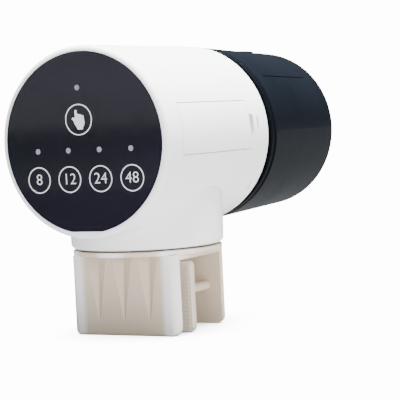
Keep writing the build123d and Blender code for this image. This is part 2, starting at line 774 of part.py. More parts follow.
def clamp_bracket():
    collar = post(collar_r, collar_bottom, collar_top, 0, neck_y)
    collar = fillet(collar.edges().filter_by(GeomType.CIRCLE), 0.4)
    collar += post(spigot_r, collar_bottom + 1, swivel_top, 0, neck_y)
    sides = (-bracket_half_width, bracket_half_width)
    head = block(sides, (front_wall_y[0] + front_wall_fillet, rear_wall_y[1]),
                 (head_bottom, collar_bottom))
    outline = wall_outline(bracket_half_width, foot_z, collar_bottom, foot_corner_r)
    front = block(sides, front_wall_y, (foot_z, collar_bottom))
    upright = front.edges().filter_by(Axis.Z).group_by(Axis.Y)[0]
    front = fillet(upright, front_wall_fillet) & profile_plate(outline, *front_wall_y)
    toe = front.edges().filter_by(Axis.X).group_by(Axis.Z)[0].sort_by(Axis.Y)[0]
    front = fillet(toe, front_toe_fillet)
    for step in (-1, 0, 1):
        front -= flute(step * flute_pitch)
    rear = profile_plate(outline, *rear_wall_y)
    for side in (-1, 1):
        rear -= rod(pin_r + 0.08, rear_wall_y[0] - 1, rear_wall_y[1] + 1, side * pin_x, pin_z)
    rear -= rod(insert_r + fastener_gap, rear_wall_y[0] - 1, rear_wall_y[1] + 1, 0, pin_z)
    bracket = collar + head + front + rear
    return bracket - post(2.0 + fastener_gap, head_bottom + 0.8, swivel_top + 1, 0, neck_y)


def flute(x):
    """V-shaped flute that fades out towards the foot of the front wall."""
    top = collar_bottom + 0.02
    front = front_wall_y[0]
    low = Vertex(x, front, foot_z + flute_end)
    half = flute_width / 2
    mouth = make_face(Polyline((x - half, front, top), (x + half, front, top),
                               (x, front + flute_depth, top), close=True))
    wedge = loft([mouth, low])
    return wedge


def swivel_washer():
    low = collar_top + 0.05
    high = -neck_drop - 0.05
    washer = post(swivel_hub_r - 0.5, low, high, 0, neck_y)
    return washer - post(spigot_r + 0.2, low - 1, high + 1, 0, neck_y)


def swivel_retainer():
    disc = post(swivel_hub_r, swivel_top, swivel_top + 1.8, 0, neck_y)
    return disc - post(2.0 + fastener_gap, swivel_top - 1, swivel_top + 3, 0, neck_y)


def swivel_screw():
    seat = swivel_top + 1.8
    upright = screw(0, 0, 0, 7.6, 3.9, 2.2, 2.0)
    return Pos(0, neck_y, seat) * Rot(-90, 0, 0) * upright


def clamp_jaw():
    foot = foot_z + jaw_foot_gap
    plate = Pos(0, (foot + jaw_top) / 2) * Rectangle(2 * bracket_half_width, jaw_top - foot)
    plate = fillet(plate.vertices(), jaw_corner_r)
    jaw = profile_plate(plate, jaw_front_y, jaw_back_y)
    reach = bracket_half_width - 0.9
    for step in range(rib_count):
        z = jaw_top - rib_first_drop - step * rib_pitch
        jaw += block((-reach, reach), (jaw_front_y - rib_height, jaw_front_y + 0.2),
                     (z - rib_width / 2, z + rib_width / 2))
    boss = rod(jaw_boss_r, jaw_back_y - 0.1, jaw_boss_end_y, 0, pin_z)
    boss -= block((-5.7, 5.7), (clip_y[0] - 0.05, clip_y[1] + 0.05), (pin_z - 5.7, pin_z + 9))
    jaw += boss
    for side in (-1, 1):
        jaw -= rod(pin_r + fastener_gap, pin_seat_y, jaw_back_y + 1, side * pin_x, pin_z)
    return jaw - rod(screw_tip_r + running_gap, tip_y - 0.2, jaw_boss_end_y + 1, 0, pin_z)


def tip_clip():
    clip = pipe(5.4, screw_neck_r + 0.1, clip_y[0], clip_y[1], 0, pin_z)
    slot = screw_neck_r + 0.15
    return clip - block((-slot, slot), (clip_y[0] - 1, clip_y[1] + 1), (pin_z - 8, pin_z))


def guide_pins():
    found = []
    for side in (-1, 1):
        tail = rear_wall_y[1] + jaw_close + pin_spare
        pin = rod(pin_r, pin_seat_y + 0.1, tail, side * pin_x, pin_z)
        ends = pin.edges().filter_by(GeomType.CIRCLE).sort_by(Axis.Y)
        found.append(fillet(ends[-1], 0.8))
    return found


def clamp_screw():
    bar = rod(screw_tip_r, tip_y, jaw_boss_end_y + 0.3, 0, pin_z)
    bar -= pipe(screw_tip_r + 1, screw_neck_r, clip_y[0] - 0.1, clip_y[1] + 0.1, 0, pin_z)
    bar += rod(screw_r, jaw_boss_end_y + 0.3, knob_y, 0, pin_z)
    return bar + rod(screw_tip_r, knob_y - 0.1, knob_y + knob_length - 2, 0, pin_z)


def thread_insert():
    nut = rod(insert_r, rear_wall_y[0] - 1.2, rear_wall_y[1] + 0.1, 0, pin_z)
    nut += rod(insert_flange_r, rear_wall_y[1], rear_wall_y[1] + insert_flange, 0, pin_z)
    return nut - rod(screw_r + 0.08, rear_wall_y[0] - 2, knob_y, 0, pin_z)


def clamp_knob():
    knob = rod(knob_r, knob_y, knob_y + knob_length, 0, pin_z)
    rims = knob.edges().filter_by(GeomType.CIRCLE)
    knob = fillet(rims, 1.0)
    for step in range(knob_grips):
        x, z = polar(knob_r + 0.9, 360 / knob_grips * step, 0, pin_z)
        knob -= rod(1.9, knob_y - 1, knob_y + knob_length + 1, x, z)
    return knob - rod(screw_tip_r + fastener_gap, knob_y - 1, knob_y + knob_length - 1.8, 0, pin_z)


# ---------------------------------------------------------------- write the nodes
nodes = {
    "main_housing": main_housing(),
    "front_panel": front_panel(),
    "panel_gasket": panel_gasket(),
    "touch_board": touch_board(),
    "touch_pads": touch_pads(),
    "led_light_guides": led_light_guides(),
    "indicator_leds": indicator_leds(),
    "control_chip": control_chip(),
    "board_screws": board_screws(),
    "battery_box": battery_box(),
    "aa_cell_outer": cell(cell_x[0], 1),
    "aa_cell_inner": cell(cell_x[1], -1),
    "battery_springs": battery_springs(),
    "battery_contacts": battery_contacts(),
    "battery_door": battery_door(),
    "motor_can": motor_can(),
    "motor_cap": motor_cap(),
    "motor_wires": motor_wires(),
    "motor_shaft": motor_shaft(),
    "motor_pinion": motor_pinion(),
    "gearbox_plate": gearbox_plate(),
    "gear_axles": gear_axles(),
    "compound_gear_a": compound_gear_a(),
    "compound_gear_b": compound_gear_b(),
    "output_gear": output_gear(),
    "output_shaft": output_shaft(),
    "output_bush": output_bush(),
    "rear_bulkhead": rear_bulkhead(),
    "gearbox_screws": gearbox_screws(),
    "bulkhead_screws": bulkhead_screws(),
    "drum_lid": drum_lid(),
    "lid_seal": lid_seal(),
    "hub_screw": hub_screw(),
    "drum_cup": drum_cup(),
    "dose_gate": dose_gate(),
    "clamp_bracket": clamp_bracket(),
    "swivel_washer": swivel_washer(),
    "swivel_retainer": swivel_retainer(),
    "swivel_screw": swivel_screw(),
    "clamp_jaw": clamp_jaw(),
    "tip_clip": tip_clip(),
    "guide_pins": guide_pins(),
    "clamp_screw": clamp_screw(),
    "thread_insert": thread_insert(),
    "clamp_knob": clamp_knob(),
}

stand = Location((0, -overall_length / 2, -foot_z))


def write(name, shape):
    """Stand one node on its feet and write its STEP file."""
    solids = []
    for piece in shape if isinstance(shape, list) else [shape]:
        solids += piece.solids()
    moved = [solid.moved(stand) for solid in solids]
    made = moved[0] if len(moved) == 1 else Compound(children=moved)
    export_step(made, f"parts/{name}.step")
    print(name, len(moved), "solid(s)")


os.makedirs("parts", exist_ok=True)
for node, shape in nodes.items():
    write(node, shape)
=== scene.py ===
"""Looks of an automatic fish feeder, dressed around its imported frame.

Every length is in metres and every place comes from the frame's own boxes.
The housing's tube lies along Y, the touch panel faces -Y and +Z is up.
"""
from __future__ import annotations

import logging
import math
from dataclasses import dataclass, field
from enum import Enum

import bpy
import bmesh
from mathutils import Matrix, Vector


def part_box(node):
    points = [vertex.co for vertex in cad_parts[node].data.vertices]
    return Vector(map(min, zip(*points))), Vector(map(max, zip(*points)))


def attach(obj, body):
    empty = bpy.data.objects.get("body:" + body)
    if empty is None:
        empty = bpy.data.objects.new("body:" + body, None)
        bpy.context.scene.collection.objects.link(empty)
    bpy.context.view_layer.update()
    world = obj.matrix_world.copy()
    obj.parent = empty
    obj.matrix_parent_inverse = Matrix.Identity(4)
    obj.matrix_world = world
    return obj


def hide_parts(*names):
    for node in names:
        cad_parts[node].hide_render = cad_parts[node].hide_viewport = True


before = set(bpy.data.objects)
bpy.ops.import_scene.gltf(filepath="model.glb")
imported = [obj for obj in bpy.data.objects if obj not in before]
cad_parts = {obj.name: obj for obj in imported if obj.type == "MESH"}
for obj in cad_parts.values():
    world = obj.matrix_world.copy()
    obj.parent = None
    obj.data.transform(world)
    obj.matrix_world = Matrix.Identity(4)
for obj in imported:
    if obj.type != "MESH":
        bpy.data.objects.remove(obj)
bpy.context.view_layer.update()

MM = 0.001
Colour = tuple[float, float, float]
log = logging.getLogger("feeder")


# ---------------------------------------------------------------- node graphs
class Graph:
    """Shader node tree of one material, with the few node groups that the finishes share."""

    def __init__(self, name: str) -> None:
        """Start an empty material with a Principled shader.

        Args:
            name: the material's name.
        """
        self.material = bpy.data.materials.new(name)
        self.material.use_nodes = True
        self.nodes = self.material.node_tree.nodes
        self.nodes.clear()
        self.shader = self.add("ShaderNodeBsdfPrincipled")
        self.output = self.add("ShaderNodeOutputMaterial")
        self.link(self.shader.outputs["BSDF"], self.output.inputs["Surface"])
        self.place = self.add("ShaderNodeTexCoord").outputs["Object"]

    def add(self, kind: str, **settings: object) -> bpy.types.Node:
        """Add one node and set its properties.

        Args:
            kind: the node's type.
            settings: property names and values.

        Returns:
            The new node.
        """
        node = self.nodes.new(kind)
        for key, value in settings.items():
            setattr(node, key, value)
        return node

    def link(self, source: bpy.types.NodeSocket, target: bpy.types.NodeSocket) -> None:
        """Join two sockets."""
        self.material.node_tree.links.new(source, target)

    def set(self, **values: object) -> None:
        """Set sockets of the shader itself; underscores stand for blanks."""
        for key, value in values.items():
            self.shader.inputs[key.replace("_", " ")].default_value = value

    def stretched(self, scale: Colour) -> bpy.types.NodeSocket:
        """Object coordinates scaled along each axis."""
        mapping = self.add("ShaderNodeMapping")
        mapping.inputs["Scale"].default_value = scale
        self.link(self.place, mapping.inputs["Vector"])
        return mapping.outputs["Vector"]

    def noise(self, scale: float, detail: float = 3.0, stretch: Colour | None = None,
              rough: float = 0.5) -> bpy.types.NodeSocket:
        """Fractal noise.

        Args:
            scale: cells per metre.
            detail: octaves.
            stretch: scale along each axis, or None.
            rough: weight of the finer octaves.

        Returns:
            The noise value's socket.
        """
        node = self.add("ShaderNodeTexNoise")
        node.inputs["Scale"].default_value = scale
        node.inputs["Detail"].default_value = detail
        node.inputs["Roughness"].default_value = rough
        self.link(self.stretched(stretch) if stretch else self.place, node.inputs["Vector"])
        return node.outputs["Fac"]

    def ranged(self, value: bpy.types.NodeSocket, low: float, high: float,
               start: float = 0.3, end: float = 0.7) -> bpy.types.NodeSocket:
        """Map a value from start..end to low..high."""
        node = self.add("ShaderNodeMapRange")
        for key, number in (("From Min", start), ("From Max", end), ("To Min", low),
                            ("To Max", high)):
            node.inputs[key].default_value = number
        self.link(value, node.inputs["Value"])
        return node.outputs["Result"]

    def blend(self, share: bpy.types.NodeSocket, first: object,
              second: object) -> bpy.types.NodeSocket:
        """Mix two colours, each a colour or a socket, by a share."""
        node = self.add("ShaderNodeMix", data_type="RGBA")
        self.link(share, node.inputs["Factor"])
        for key, value in (("A", first), ("B", second)):
            socket = [i for i in node.inputs if i.name == key and i.type == "RGBA"][0]
            if isinstance(value, tuple):
                socket.default_value = (*value, 1.0)
            else:
                self.link(value, socket)
        return [o for o in node.outputs if o.type == "RGBA"][0]

    def bump(self, height: bpy.types.NodeSocket, strength: float, depth: float) -> None:
        """Add bump under what bump the shader already has.

        Args:
            height: the height's socket.
            strength: share of the bump.
            depth: height in metres.
        """
        node = self.add("ShaderNodeBump")
        node.inputs["Strength"].default_value = strength
        node.inputs["Distance"].default_value = depth
        self.link(height, node.inputs["Height"])
        held = self.shader.inputs["Normal"].links
        if held:
            self.link(held[0].from_socket, node.inputs["Normal"])
        self.link(node.outputs["Normal"], self.shader.inputs["Normal"])


def shade(colour: Colour, factor: float) -> Colour:
    """Colour made lighter or darker."""
    return tuple(min(1.0, part * factor) for part in colour)


# ---------------------------------------------------------------- finishes
@dataclass(frozen=True)
class MouldedPlastic:
    """Moulded plastic with clouded colour, uneven gloss and fine mould texture."""

    name: str
    colour: Colour
    roughness: float = 0.35
    gloss_spread: float = 0.05
    cloud: float = 0.03
    cloud_scale: float = 45.0
    grain: float = 0.25
    grain_scale: float = 5200.0
    grain_depth: float = 0.00002
    glow: float = 0.0
    coat: float = 0.0
    # painted shade: a tan colour laid into the bracket's flute beds and over its rear wall
    painted_shade_tint: Colour | None = None
    # painted shade: a dark colour laid on the housing tube's inner faces behind its front ledge
    inside: Colour | None = None
    bed_zone: tuple[float, float] = (0.1 * MM, 1.0 * MM)
    rear_zone: tuple[float, float] = (8.0 * MM, 24.0 * MM)
    flutes_half: tuple[float, float] = (17.5 * MM, 20.0 * MM)
    bore_edge: tuple[float, float] = (0.6 * MM, 1.1 * MM)
    ledge_edge: tuple[float, float] = (2.0 * MM, 3.0 * MM)

    def inner(self, graph: Graph) -> bpy.types.NodeSocket:
        """Where painted shade darkens the tube's inner faces, behind its front ledge."""
        split = graph.add("ShaderNodeSeparateXYZ")
        graph.link(graph.place, split.inputs["Vector"])
        low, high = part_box("front_panel")
        flat = graph.add("ShaderNodeCombineXYZ")
        graph.link(split.outputs["X"], flat.inputs["X"])
        graph.link(split.outputs["Z"], flat.inputs["Z"])
        spoke = graph.add("ShaderNodeVectorMath", operation="DISTANCE")
        graph.link(flat.outputs[0], spoke.inputs[0])
        lens_r = (high.x - low.x) / 2
        spoke.inputs[1].default_value = (0.0, 0.0, high.z - lens_r)
        bore = graph.ranged(spoke.outputs["Value"], 1.0, 0.0,
                            *(lens_r + edge for edge in self.bore_edge))
        behind = graph.ranged(split.outputs["Y"], 0.0, 1.0,
                              *(high.y + edge for edge in self.ledge_edge))
        both = graph.add("ShaderNodeMath", operation="MULTIPLY")
        graph.link(bore, both.inputs[0])
        graph.link(behind, both.inputs[1])
        return both.outputs[0]

    def painted_shade_share(self, graph: Graph) -> bpy.types.NodeSocket:
        """Where painted shade darkens the bracket: in the beds of its flutes and towards its rear
        wall.
        """
        split = graph.add("ShaderNodeSeparateXYZ")
        graph.link(graph.place, split.inputs["Vector"])
        across = graph.add("ShaderNodeMath", operation="ABSOLUTE")
        graph.link(split.outputs["X"], across.inputs[0])
        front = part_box("clamp_bracket")[0].y
        beds = graph.ranged(split.outputs["Y"], 0.0, 1.0,
                            *(front + edge for edge in self.bed_zone))
        middle = graph.ranged(across.outputs[0], 1.0, 0.0, *self.flutes_half)
        flutes = graph.add("ShaderNodeMath", operation="MULTIPLY")
        graph.link(beds, flutes.inputs[0])
        graph.link(middle, flutes.inputs[1])
        rear = graph.ranged(split.outputs["Y"], 0.0, 1.0,
                            *(front + edge for edge in self.rear_zone))
        both = graph.add("ShaderNodeMath", operation="MAXIMUM")
        graph.link(flutes.outputs[0], both.inputs[0])
        graph.link(rear, both.inputs[1])
        return both.outputs[0]

    def build(self) -> bpy.types.Material:
        """Make the material."""
        graph = Graph(self.name)
        cloud = graph.noise(self.cloud_scale, 4.0)
        colour = graph.blend(graph.ranged(cloud, 0.0, 1.0), shade(self.colour, 1 - self.cloud),
                             shade(self.colour, 1 + self.cloud))
        # painted shade: the tan colour darkens the flute beds and the rear wall
        if self.painted_shade_tint:
            colour = graph.blend(self.painted_shade_share(graph), colour, self.painted_shade_tint)
        # painted shade: the dark colour covers the tube's inner faces
        if self.inside:
            colour = graph.blend(self.inner(graph), colour, self.inside)
        graph.link(colour, graph.shader.inputs["Base Color"])
        gloss = graph.noise(self.cloud_scale * 7, 5.0)
        gloss = graph.ranged(gloss, self.roughness - self.gloss_spread,
                             self.roughness + self.gloss_spread)
        graph.link(gloss, graph.shader.inputs["Roughness"])
        graph.bump(graph.noise(self.grain_scale, 2.0), self.grain, self.grain_depth)
        graph.bump(graph.noise(24.0, 2.0), 0.35, 0.00012)
        graph.set(Subsurface_Weight=self.glow, Subsurface_Scale=0.0012, Coat_Weight=self.coat,
                  Coat_Roughness=0.08)
        graph.shader.inputs["Subsurface Radius"].default_value = (1.0, 0.9, 0.8)
        return graph.material


@dataclass(frozen=True)
class PolishedPlastic:
    """Dark polished plastic with faint smudges, fine scratches and a slow ripple."""

    name: str
    colour: Colour
    tint: Colour
    roughness: float = 0.05
    smudge: float = 0.06
    ripple: float = 0.00003
    ripple_scale: float = 35.0
    specular: float = 0.5

    def build(self) -> bpy.types.Material:
        """Make the material."""
        graph = Graph(self.name)
        bands = graph.noise(28.0, 2.0, (0.25, 1.0, 1.0))
        colour = graph.blend(graph.ranged(bands, 0.0, 1.0), self.colour, self.tint)
        graph.link(colour, graph.shader.inputs["Base Color"])
        smudges = graph.ranged(graph.noise(65.0, 6.0, rough=0.65), self.roughness,
                               self.roughness + self.smudge, 0.45, 0.75)
        graph.link(smudges, graph.shader.inputs["Roughness"])
        graph.bump(graph.noise(900.0, 2.0, (1.0, 0.04, 1.0)), 0.03, 0.00001)
        graph.bump(graph.noise(self.ripple_scale, 1.0), 0.3, self.ripple)
        graph.set(IOR=1.49, Specular_IOR_Level=self.specular)
        return graph.material


@dataclass(frozen=True)
class WorkedMetal:
    """Bare or plated metal with drawn lines and a little tarnish."""

    name: str
    colour: Colour
    roughness: float = 0.28
    lines: Colour = (60.0, 4.0, 60.0)
    tarnish: float = 0.15

    def build(self) -> bpy.types.Material:
        """Make the material."""
        graph = Graph(self.name)
        spots = graph.ranged(graph.noise(420.0, 5.0, rough=0.6), 0.0, 1.0, 0.45, 0.72)
        colour = graph.blend(spots, self.colour, shade(self.colour, 1 - self.tarnish))
        graph.link(colour, graph.shader.inputs["Base Color"])
        drawn = graph.noise(130.0, 3.0, self.lines)
        graph.link(graph.ranged(drawn, self.roughness - 0.08, self.roughness + 0.12),
                   graph.shader.inputs["Roughness"])
        graph.bump(drawn, 0.12, 0.00001)
        graph.set(Metallic=1.0)
        return graph.material


@dataclass(frozen=True)
class SoftRubber:
    """Rubber or foam: matt, with open pores."""

    name: str
    colour: Colour
    pore_scale: float = 3200.0
    pore_depth: float = 0.00008

    def build(self) -> bpy.types.Material:
        """Make the material."""
        graph = Graph(self.name)
        pores = graph.add("ShaderNodeTexVoronoi", feature="F1")
        pores.inputs["Scale"].default_value = self.pore_scale
        graph.link(graph.place, pores.inputs["Vector"])
        # painted shade and highlight: each pore is darker in its hollow and lighter towards its
        # rim
        depth = graph.ranged(pores.outputs["Distance"], 0.0, 1.0, 0.0, 0.7)
        graph.link(graph.blend(depth, shade(self.colour, 0.6), shade(self.colour, 1.3)),
                   graph.shader.inputs["Base Color"])
        graph.bump(depth, 0.5, self.pore_depth)
        graph.link(graph.ranged(graph.noise(300.0), 0.6, 0.8), graph.shader.inputs["Roughness"])
        graph.set(Sheen_Weight=0.15)
        return graph.material


@dataclass(frozen=True)
class CircuitBoard:
    """Solder mask over copper tracks."""

    name: str
    mask: Colour
    track: Colour
    pitch: float = 340.0

    def build(self) -> bpy.types.Material:
        """Make the material."""
        graph = Graph(self.name)
        flat = graph.add("ShaderNodeMapping")
        flat.inputs["Rotation"].default_value = (math.pi / 2, 0.0, 0.0)
        graph.link(graph.place, flat.inputs["Vector"])
        tracks = graph.add("ShaderNodeTexBrick", offset=0.37, squash=0.6, squash_frequency=3)
        tracks.inputs["Scale"].default_value = self.pitch
        tracks.inputs["Mortar Size"].default_value = 0.07
        tracks.inputs["Mortar Smooth"].default_value = 0.2
        graph.link(flat.outputs["Vector"], tracks.inputs["Vector"])
        cloud = graph.blend(graph.noise(90.0), shade(self.mask, 0.8), shade(self.mask, 1.2))
        colour = graph.blend(tracks.outputs["Fac"], cloud, self.track)
        graph.link(colour, graph.shader.inputs["Base Color"])
        graph.bump(tracks.outputs["Fac"], 0.4, 0.00004)
        graph.link(graph.ranged(graph.noise(800.0), 0.25, 0.4), graph.shader.inputs["Roughness"])
        graph.set(Coat_Weight=0.4, Coat_Roughness=0.15)
        return graph.material


@dataclass(frozen=True)
class CellSleeve:
    """Plain two-colour sleeve of a dry cell, banded along Y, with bare metal ends."""

    name: str
    main: Colour
    band: Colour
    start: float
    end: float

    def build(self) -> bpy.types.Material:
        """Make the material."""
        graph = Graph(self.name)
        split = graph.add("ShaderNodeSeparateXYZ")
        graph.link(graph.place, split.inputs["Vector"])
        along = graph.ranged(split.outputs["Y"], 0.0, 1.0, self.start, self.end)
        ramp = graph.add("ShaderNodeValToRGB")
        ramp.color_ramp.interpolation = "CONSTANT"
        metal = (0.6, 0.6, 0.6, 1.0)
        stops = [(0.0, metal), (0.04, (*self.main, 1.0)), (0.72, (*self.band, 1.0)),
                 (0.745, (*self.main, 1.0)), (0.77, (*self.band, 1.0)), (0.955, metal)]
        ramp.color_ramp.elements[0].color = stops[0][1]
        ramp.color_ramp.elements[1].position, ramp.color_ramp.elements[1].color = stops[1]
        for position, colour in stops[2:]:
            ramp.color_ramp.elements.new(position).color = colour
        graph.link(along, ramp.inputs["Fac"])
        worn = graph.ranged(graph.noise(600.0, 6.0), 0.0, 0.35, 0.6, 0.8)
        graph.link(graph.blend(worn, ramp.outputs["Color"], (0.75, 0.75, 0.75)),
                   graph.shader.inputs["Base Color"])
        graph.link(graph.ranged(graph.noise(200.0, 4.0), 0.22, 0.36),
                   graph.shader.inputs["Roughness"])
        graph.bump(graph.noise(400.0, 3.0), 0.1, 0.00003)
        graph.set(Metallic=0.25, Coat_Weight=0.5, Coat_Roughness=0.1)
        return graph.material


@dataclass(frozen=True)
class PrintedInk:
    """Screen-printed ink: slightly uneven, with a dry edge."""

    name: str
    colour: Colour

    def build(self) -> bpy.types.Material:
        """Make the material."""
        graph = Graph(self.name)
        mottle = graph.ranged(graph.noise(2600.0, 4.0), 0.0, 1.0, 0.35, 0.7)
        graph.link(graph.blend(mottle, shade(self.colour, 0.86), self.colour),
                   graph.shader.inputs["Base Color"])
        graph.link(graph.ranged(graph.noise(1500.0), 0.35, 0.5), graph.shader.inputs["Roughness"])
        graph.bump(graph.noise(9000.0, 2.0), 0.2, 0.00001)
        return graph.material


class Finish(Enum):
    """The finishes of the feeder's pieces."""

    # the housing's dark inner faces are painted shade
    WHITE = MouldedPlastic("white_housing", (0.82, 0.825, 0.83), 0.34, 0.04, 0.012,
                           grain=0.12, glow=0.08, inside=(0.10, 0.095, 0.085))
    # the bracket's tan colour is painted shade in its flute beds and on its rear wall
    IVORY = MouldedPlastic("ivory_bracket", (0.88, 0.865, 0.84), 0.42, 0.05, 0.02,
                           grain=0.2, glow=0.12, painted_shade_tint=(0.62, 0.52, 0.40))
    LENS = PolishedPlastic("black_lens", (0.0055, 0.006, 0.009), (0.010, 0.009, 0.016), 0.045)
    SMOKE = PolishedPlastic("smoke_drum", (0.002, 0.003, 0.005), (0.003, 0.0045, 0.007), 0.28,
                            smudge=0.05, specular=0.2)
    JOINT = PolishedPlastic("smoke_lid", (0.0015, 0.002, 0.003), (0.002, 0.003, 0.004), 0.3,
                            specular=0.1)
    GREY = MouldedPlastic("grey_frame", (0.30, 0.31, 0.33), 0.5)
    TRAY = MouldedPlastic("tray_white", (0.62, 0.62, 0.62), 0.5)
    ACETAL = MouldedPlastic("natural_acetal", (0.80, 0.77, 0.68), 0.38, glow=0.3)
    NYLON = MouldedPlastic("black_nylon", (0.02, 0.02, 0.022), 0.5)
    EPOXY = MouldedPlastic("chip_epoxy", (0.015, 0.015, 0.016), 0.6, grain=0.6)
    VINYL = MouldedPlastic("red_vinyl", (0.45, 0.03, 0.02), 0.35, coat=0.2)
    RESIN = MouldedPlastic("led_resin", (0.75, 0.74, 0.62), 0.15, glow=0.4)
    GUIDE = MouldedPlastic("led_window", (0.22, 0.23, 0.26), 0.25, grain=0.05, glow=0.3)
    PUPIL = PolishedPlastic("led_centre", (0.05, 0.055, 0.065), (0.07, 0.07, 0.08), 0.1)
    STEEL = WorkedMetal("zinc_steel", (0.62, 0.62, 0.63))
    NICKEL = WorkedMetal("nickel_plate", (0.72, 0.70, 0.65), 0.18)
    BRASS = WorkedMetal("turned_brass", (0.72, 0.52, 0.24), 0.25)
    CAN = WorkedMetal("motor_can", (0.50, 0.51, 0.53), 0.34, (40.0, 3.0, 40.0))
    RUBBER = SoftRubber("moulded_rubber", (0.03, 0.03, 0.032))
    FOAM = SoftRubber("open_foam", (0.025, 0.025, 0.027), 1400.0, 0.0002)
    BOARD = CircuitBoard("green_board", (0.015, 0.13, 0.05), (0.06, 0.25, 0.11))
    INK = PrintedInk("pale_ink", (0.66, 0.67, 0.70))

    def material(self) -> bpy.types.Material:
        """Material of this finish, made on its first use."""
        found = bpy.data.materials.get(self.value.name)
        return found or self.value.build()


NODE_FINISHES: dict[Finish, tuple[str, ...]] = {
    Finish.WHITE: ("main_housing", "battery_door"),
    Finish.IVORY: ("clamp_bracket", "clamp_jaw", "guide_pins", "swivel_retainer",
                   "thread_insert", "clamp_knob"),
    Finish.LENS: ("front_panel",),
    Finish.SMOKE: ("drum_cup", "dose_gate"),
    Finish.JOINT: ("drum_lid",),
    Finish.GREY: ("rear_bulkhead", "gearbox_plate"),
    Finish.TRAY: ("battery_box",),
    Finish.ACETAL: ("compound_gear_a", "compound_gear_b", "output_gear", "motor_pinion"),
    Finish.NYLON: ("motor_cap",),
    Finish.EPOXY: ("control_chip",),
    Finish.VINYL: ("motor_wires",),
    Finish.RESIN: ("indicator_leds",),
    Finish.STEEL: ("board_screws", "bulkhead_screws", "gearbox_screws", "hub_screw",
                   "swivel_screw", "tip_clip", "gear_axles", "output_shaft", "motor_shaft"),
    Finish.NICKEL: ("battery_springs", "battery_contacts"),
    Finish.BRASS: ("output_bush",),
    Finish.CAN: ("motor_can",),
    Finish.RUBBER: ("lid_seal", "swivel_washer"),
    Finish.FOAM: ("panel_gasket", "touch_pads"),
    Finish.BOARD: ("touch_board",),
}


# ---------------------------------------------------------------- modelling tools
def deselect() -> None:
    """Leave edit mode and clear the selection."""
    if bpy.context.object and bpy.context.object.mode != "OBJECT":
        bpy.ops.object.mode_set(mode="OBJECT")
    bpy.ops.object.select_all(action="DESELECT")


def settle(piece: bpy.types.Object, name: str, finish: Finish) -> bpy.types.Object:
    """Apply a piece's place, name it and dress it.

    Args:
        piece: the modelled object.
        name: its name.
        finish: its finish.

    Returns:
        The same object, at the origin.
    """
    deselect()
    piece.select_set(True)
    bpy.context.view_layer.objects.active = piece
    bpy.ops.object.transform_apply(location=True, rotation=True, scale=True)
    piece.name = name
    piece.data.name = name
    piece.data.materials.clear()
    piece.data.materials.append(finish.material())
    deselect()
    return piece


def as_mesh(piece: bpy.types.Object) -> bpy.types.Object:
    """Turn a text or a flat curve into a mesh."""
    deselect()
    piece.select_set(True)
    bpy.context.view_layer.objects.active = piece
    bpy.ops.object.convert(target="MESH")
    return bpy.context.object


def joined(pieces: list[bpy.types.Object]) -> bpy.types.Object:
    """Join pieces into the first one."""
    deselect()
    for piece in pieces:
        piece.select_set(True)
    bpy.context.view_layer.objects.active = pieces[0]
    bpy.ops.object.join()
    return bpy.context.object


def pick_faces(mesh: bmesh.types.BMesh, towards: Vector, limit: float = 0.9) -> None:
    """Select only the faces that look one way."""
    for face in mesh.faces:
        face.select_set(False)
    for face in mesh.faces:
        face.select_set(face.normal.dot(towards) > limit)
    mesh.select_flush_mode()


